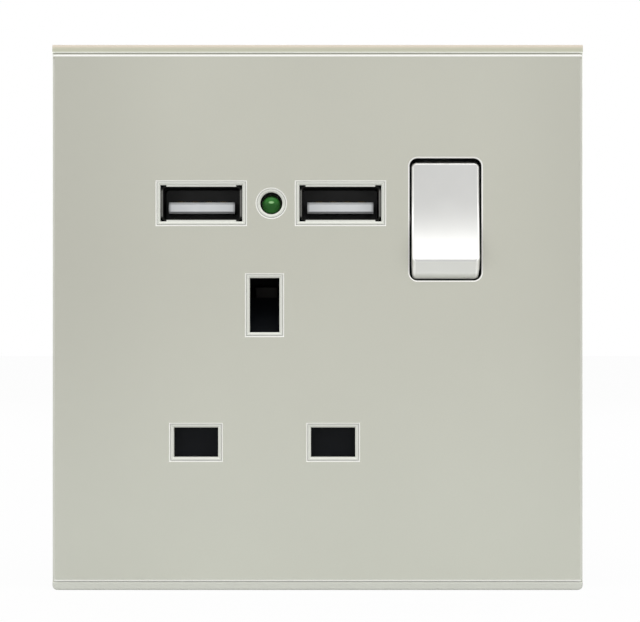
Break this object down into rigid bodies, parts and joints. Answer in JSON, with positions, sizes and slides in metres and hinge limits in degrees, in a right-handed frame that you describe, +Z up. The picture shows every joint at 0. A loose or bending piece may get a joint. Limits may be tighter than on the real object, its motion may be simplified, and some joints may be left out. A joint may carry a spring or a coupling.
{
  "type": "usb wall socket",
  "caption": "Square wall plate with a shuttered mains outlet, a tilting rocker switch, USB charging ports and a green indicator lamp, over a boxed rear housing.",
  "frame": {"origin": "centre of the plate's outline, in the plane of the wall", "axes": "+Z up, +X to the right as seen from the room, +Y into the wall"},
  "size_m": [0.086, 0.0367, 0.0884],
  "materials": {
    "panel": "satin champagne-grey paint",
    "frame": "satin champagne-grey moulding",
    "white_moulding": "off-white moulded plastic",
    "housing": "black moulded plastic",
    "black_plastic": "black moulded plastic",
    "rocker": "satin chrome plating on plastic",
    "brass": "stamped brass",
    "silver": "silver alloy",
    "steel": "zinc-plated steel",
    "usb_shell": "folded plated steel",
    "usb_tongue": "white moulded plastic",
    "lamp": "clear green resin",
    "board": "green circuit board",
    "ferrite": "dark ferrite",
    "winding_tape": "yellow tape over copper wire",
    "can": "sleeved aluminium can",
    "chip": "black epoxy",
    "lead": "insulated wire"
  },
  "bodies": {
    "socket": {"front_panel": "panel", "outer_frame": "frame", "socket_front": "white_moulding", "rear_housing": "housing", "switch_frame": "black_plastic", "switch_pivot": "brass", "line_contact": "brass", "fixed_contact_tip": "silver", "neutral_contact": "brass", "earth_contact": "brass", "line_terminal": "brass", "neutral_terminal": "brass", "earth_terminal": "brass", "terminal_screws": "steel", "fixing_screws": "steel", "housing_screws": "steel", "shutter_spring": "steel", "usb_shell_left": "usb_shell", "usb_shell_right": "usb_shell", "usb_tongue_left": "usb_tongue", "usb_tongue_right": "usb_tongue", "usb_contacts_left": "brass", "usb_contacts_right": "brass", "indicator_led": "lamp", "led_leads": "steel", "charger_board": "board", "transformer_core": "ferrite", "transformer_winding": "winding_tape", "bulk_capacitors": "can", "output_capacitor": "can", "bridge_rectifier": "chip", "control_chip": "chip", "charger_leads": "lead"},
    "rocker": {"rocker": "rocker", "plunger_spring": "steel"},
    "plunger": {"rocker_plunger": "usb_tongue"},
    "moving_contact": {"moving_contact": "brass", "moving_contact_tip": "silver"},
    "shutter": {"shutter": "black_plastic"}
  },
  "joints": [
    {"name": "rocker_tilt", "type": "hinge", "parent": "socket", "child": "rocker", "pos_m": [0.02073, -0.0016, 0.0159], "axis": [1, 0, 0], "range_deg": [0, 20]},
    {"name": "contact_tilt", "type": "hinge", "parent": "socket", "child": "moving_contact", "pos_m": [0.02073, 0.0071, 0.0159], "axis": [1, 0, 0], "range_deg": [-24, 0]},
    {"name": "plunger_press", "type": "slide", "parent": "rocker", "child": "plunger", "axis": [0, -0.9848, 0.1736], "range_m": [0, 0.0008], "stiffness_N_per_m": 800, "springref_m": -0.003, "deforming": ["plunger_spring"]},
    {"name": "shutter_slide", "type": "slide", "parent": "socket", "child": "shutter", "axis": [0, 0, -1], "range_m": [0, 0.0056], "stiffness_N_per_m": 100, "springref_m": -0.006, "deforming": ["shutter_spring"]}
  ],
  "couplings": [
    {"joint": "contact_tilt", "follows": "rocker_tilt", "ratio": -1.2}
  ]
}
